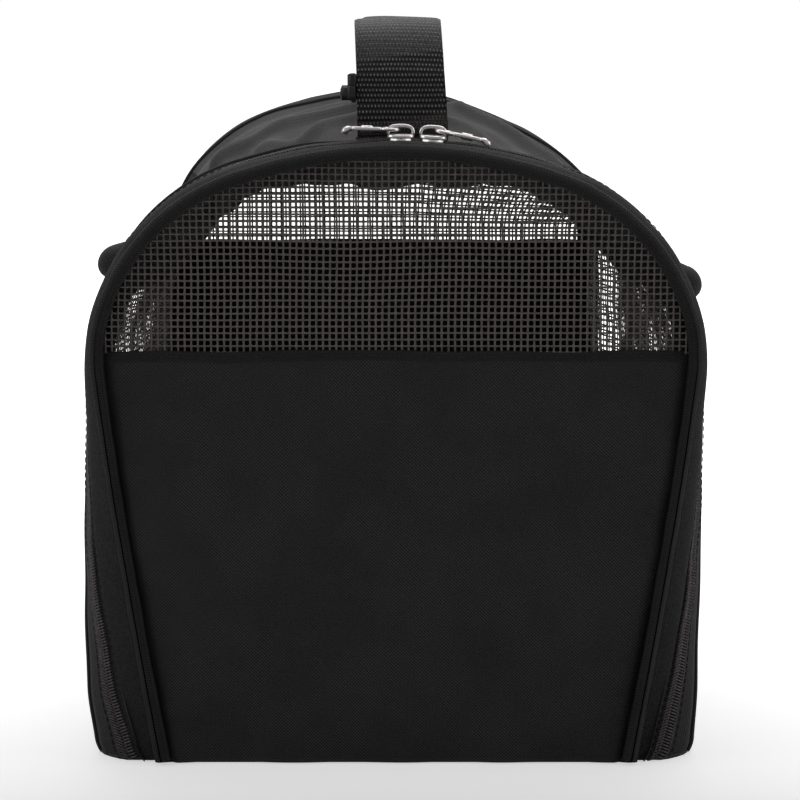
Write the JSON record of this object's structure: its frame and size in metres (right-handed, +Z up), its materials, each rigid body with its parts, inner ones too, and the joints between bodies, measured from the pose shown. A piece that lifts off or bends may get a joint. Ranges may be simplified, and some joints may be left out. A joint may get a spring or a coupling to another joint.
{
  "type": "pet carrier bag",
  "caption": "Soft tunnel-shaped pet carrier with a zipped mesh door at one end, mesh windows, rolled window covers and a webbing carrying handle.",
  "frame": {"origin": "middle of the base on the floor", "axes": "+Z up, the door end faces -Y, +X to the right seen from the door"},
  "size_m": [0.2809, 0.4346, 0.326],
  "materials": {
    "door_cloth": "matte woven polyester",
    "roof_cloth": "matte woven polyester over thin padding",
    "side_cloth": "matte woven polyester over thin padding",
    "floor_cloth": "coarse woven polyester",
    "window_mesh": "open coated mesh, slightly glossy",
    "piping_cloth": "twill-covered piping",
    "binding_tape": "flat ribbed tape",
    "zip_tape": "knitted zip tape",
    "zip_coil": "nylon coil, satin",
    "zip_metal": "nickel plated, polished",
    "stop_metal": "crimped metal stop",
    "webbing": "ribbed polypropylene webbing",
    "keeper_plastic": "moulded, satin",
    "hoop_wire": "spring steel wire",
    "sleeve_cloth": "thin woven sleeve",
    "elastic": "ribbed elastic",
    "cover_cloth": "rolled woven polyester",
    "board": "stiff plastic sheet",
    "fleece": "short-pile fleece"
  },
  "bodies": {
    "bag": {"body_zip_coil": "zip_coil", "body_zip_tape": "zip_tape", "front_band": "side_cloth", "rear_gusset": "side_cloth", "rear_piping": "piping_cloth", "rear_panel": "door_cloth", "rear_mesh": "window_mesh", "rear_hem": "binding_tape", "zip_end_stops": "stop_metal", "floor_panel": "floor_cloth", "hinge_binding": "binding_tape", "side_panel_left": "side_cloth", "side_panel_right": "side_cloth", "side_mesh_left": "window_mesh", "side_mesh_right": "window_mesh", "window_binding_left": "binding_tape", "window_binding_right": "binding_tape", "roof_panel": "roof_cloth", "cover_roll_left": "cover_cloth", "cover_roll_right": "cover_cloth", "cover_ties_left": "elastic", "cover_ties_right": "elastic", "front_hoop": "hoop_wire", "rear_hoop": "hoop_wire", "front_hoop_sleeve": "sleeve_cloth", "rear_hoop_sleeve": "sleeve_cloth", "side_tab": "webbing", "base_board": "board", "handle_foot_front": "webbing", "handle_foot_rear": "webbing"},
    "door": {"door_panel": "door_cloth", "door_mesh": "window_mesh", "door_hem": "binding_tape", "door_piping": "piping_cloth", "door_gusset": "door_cloth", "door_zip_tape": "zip_tape", "door_zip_coil": "zip_coil"},
    "mat": {"fleece_mat": "fleece"},
    "handle": {"handle_strap": "webbing", "handle_keeper": "keeper_plastic"},
    "left_slider": {"slider_left": "zip_metal"},
    "right_slider": {"slider_right": "zip_metal"},
    "left_pull": {"pull_left": "zip_metal"},
    "right_pull": {"pull_right": "zip_metal"}
  },
  "joints": [
    {"name": "door_hinge", "type": "hinge", "parent": "bag", "child": "door", "pos_m": [0, -0.2135, 0.0038], "axis": [1, 0, 0], "range_deg": [0, 90]},
    {"name": "mat_lift", "type": "slide", "parent": "bag", "child": "mat", "axis": [0, 0, 1], "range_m": [0, 0.06]},
    {"name": "handle_lean", "type": "hinge", "parent": "bag", "child": "handle", "pos_m": [0, 0, 0.288], "axis": [0, 1, 0], "range_deg": [-30, 30]},
    {"name": "left_slider_travel", "type": "hinge", "parent": "bag", "child": "left_slider", "pos_m": [0, -0.196, 0.034], "axis": [0, -1, 0], "range_deg": [0, 14]},
    {"name": "right_slider_travel", "type": "hinge", "parent": "bag", "child": "right_slider", "pos_m": [0, -0.196, 0.034], "axis": [0, 1, 0], "range_deg": [0, 11]},
    {"name": "left_pull_flip", "type": "hinge", "parent": "left_slider", "child": "left_pull", "pos_m": [-0.00026, -0.196, 0.27926], "axis": [0, 1, 0], "range_deg": [0, 90]},
    {"name": "right_pull_flip", "type": "hinge", "parent": "right_slider", "child": "right_pull", "pos_m": [0.01834, -0.196, 0.27857], "axis": [0, -1, 0], "range_deg": [0, 90]}
  ]
}
